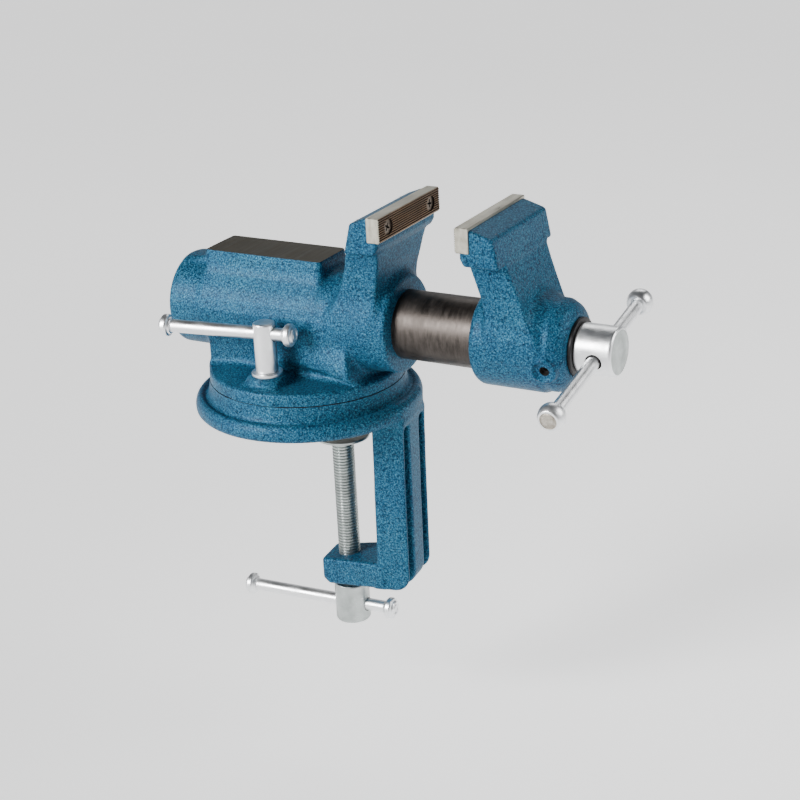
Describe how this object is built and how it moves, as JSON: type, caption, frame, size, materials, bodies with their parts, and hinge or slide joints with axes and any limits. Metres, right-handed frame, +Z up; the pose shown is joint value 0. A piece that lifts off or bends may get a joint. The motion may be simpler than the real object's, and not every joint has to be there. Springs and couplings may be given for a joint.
{
  "type": "bench vise",
  "caption": "Table-clamp bench vise: swivelling body on a C-clamp base, round slide tube, two serrated jaws opened by a screw with a sliding T-handle.",
  "frame": {"origin": "on the swivel axis, on the flat underside of the base that rests on the table", "axes": "+X along the slide from the fixed jaw towards the movable jaw, +Y along the jaw width, +Z up"},
  "size_m": [0.2918, 0.149, 0.2859],
  "materials": {
    "body_casting": "hammertone enamel on cast iron",
    "fixed_jaw_plate": "ground and serrated hardened steel",
    "fixed_plate_screws": "blackened steel",
    "rear_cap": "satin black",
    "main_nut": "machined",
    "nut_bolt": "blackened steel",
    "pivot_bolt": "zinc plated",
    "pivot_washer": "zinc plated",
    "lock_washer": "bright zinc",
    "lock_shoe": "machined",
    "lock_screw": "bright zinc",
    "lock_bar": "bright zinc",
    "lock_knob_long": "bright zinc",
    "lock_knob_short": "bright zinc",
    "jaw_casting": "hammertone enamel on cast iron",
    "slide_tube": "turned dark steel",
    "moving_jaw_plate": "ground and serrated hardened steel",
    "moving_plate_screws": "blackened steel",
    "hub_set_screw": "blackened steel",
    "tube_pin": "blackened steel",
    "thrust_washer": "satin black",
    "main_screw": "bright zinc",
    "main_bar": "bright zinc",
    "main_knob_low": "bright zinc",
    "main_knob_high": "bright zinc",
    "base_casting": "hammertone enamel on cast iron",
    "recess_plug": "pressed steel",
    "clamp_pad": "satin zinc",
    "pad_circlip": "spring steel",
    "clamp_screw": "satin zinc",
    "clamp_bar": "bright zinc",
    "clamp_knob_long": "bright zinc",
    "clamp_knob_short": "bright zinc"
  },
  "bodies": {
    "base": {"base_casting": "base_casting", "recess_plug": "recess_plug"},
    "body": {"body_casting": "body_casting", "fixed_jaw_plate": "fixed_jaw_plate", "fixed_plate_screws": "fixed_plate_screws", "rear_cap": "rear_cap", "main_nut": "main_nut", "nut_bolt": "nut_bolt", "pivot_bolt": "pivot_bolt", "pivot_washer": "pivot_washer", "lock_washer": "lock_washer", "lock_shoe": "lock_shoe"},
    "lock_screw": {"lock_screw": "lock_screw"},
    "lock_handle": {"lock_bar": "lock_bar", "lock_knob_long": "lock_knob_long", "lock_knob_short": "lock_knob_short"},
    "moving_jaw": {"jaw_casting": "jaw_casting", "slide_tube": "slide_tube", "moving_jaw_plate": "moving_jaw_plate", "moving_plate_screws": "moving_plate_screws", "hub_set_screw": "hub_set_screw", "tube_pin": "tube_pin", "thrust_washer": "thrust_washer"},
    "main_screw": {"main_screw": "main_screw"},
    "main_handle": {"main_bar": "main_bar", "main_knob_low": "main_knob_low", "main_knob_high": "main_knob_high"},
    "clamp_pad": {"clamp_pad": "clamp_pad"},
    "clamp_screw": {"clamp_screw": "clamp_screw", "pad_circlip": "pad_circlip"},
    "clamp_handle": {"clamp_bar": "clamp_bar", "clamp_knob_long": "clamp_knob_long", "clamp_knob_short": "clamp_knob_short"}
  },
  "joints": [
    {"name": "swivel", "type": "hinge", "parent": "base", "child": "body", "pos_m": [0, 0, 0.0195], "axis": [0, 0, 1], "continuous": true},
    {"name": "jaw_slide", "type": "slide", "parent": "body", "child": "moving_jaw", "axis": [1, 0, 0], "range_m": [-0.04772, 0.02722]},
    {"name": "screw_turn", "type": "hinge", "parent": "moving_jaw", "child": "main_screw", "pos_m": [0.1997, 0, 0.0601], "axis": [1, 0, 0], "range_deg": [-4293, 2448]},
    {"name": "main_handle_slide", "type": "slide", "parent": "main_screw", "child": "main_handle", "axis": [0, 0.9816, 0.1908], "range_m": [-0.037, 0.052]},
    {"name": "lock_turn", "type": "hinge", "parent": "body", "child": "lock_screw", "pos_m": [-0.0015, -0.043, 0.0588], "axis": [0, 0, 1], "range_deg": [-12, 8]},
    {"name": "lock_handle_slide", "type": "slide", "parent": "lock_screw", "child": "lock_handle", "axis": [0.9903, 0.1392, 0], "range_m": [-0.005, 0.006]},
    {"name": "clamp_slide", "type": "slide", "parent": "base", "child": "clamp_pad", "axis": [0, 0, 1], "range_m": [-0.07622, 0.00102]},
    {"name": "clamp_turn", "type": "hinge", "parent": "clamp_pad", "child": "clamp_screw", "pos_m": [0.02089, 0.0022, -0.1395], "axis": [0, 0, 1], "range_deg": [-13716, 180]},
    {"name": "clamp_handle_slide", "type": "slide", "parent": "clamp_screw", "child": "clamp_handle", "axis": [0.9982, 0.0593, 0], "range_m": [-0.0118, 0.059]}
  ],
  "couplings": [
    {"joint": "jaw_slide", "follows": "screw_turn", "m_per_rad": 0.00063662},
    {"joint": "clamp_slide", "follows": "clamp_turn", "m_per_rad": 0.00031831}
  ]
}
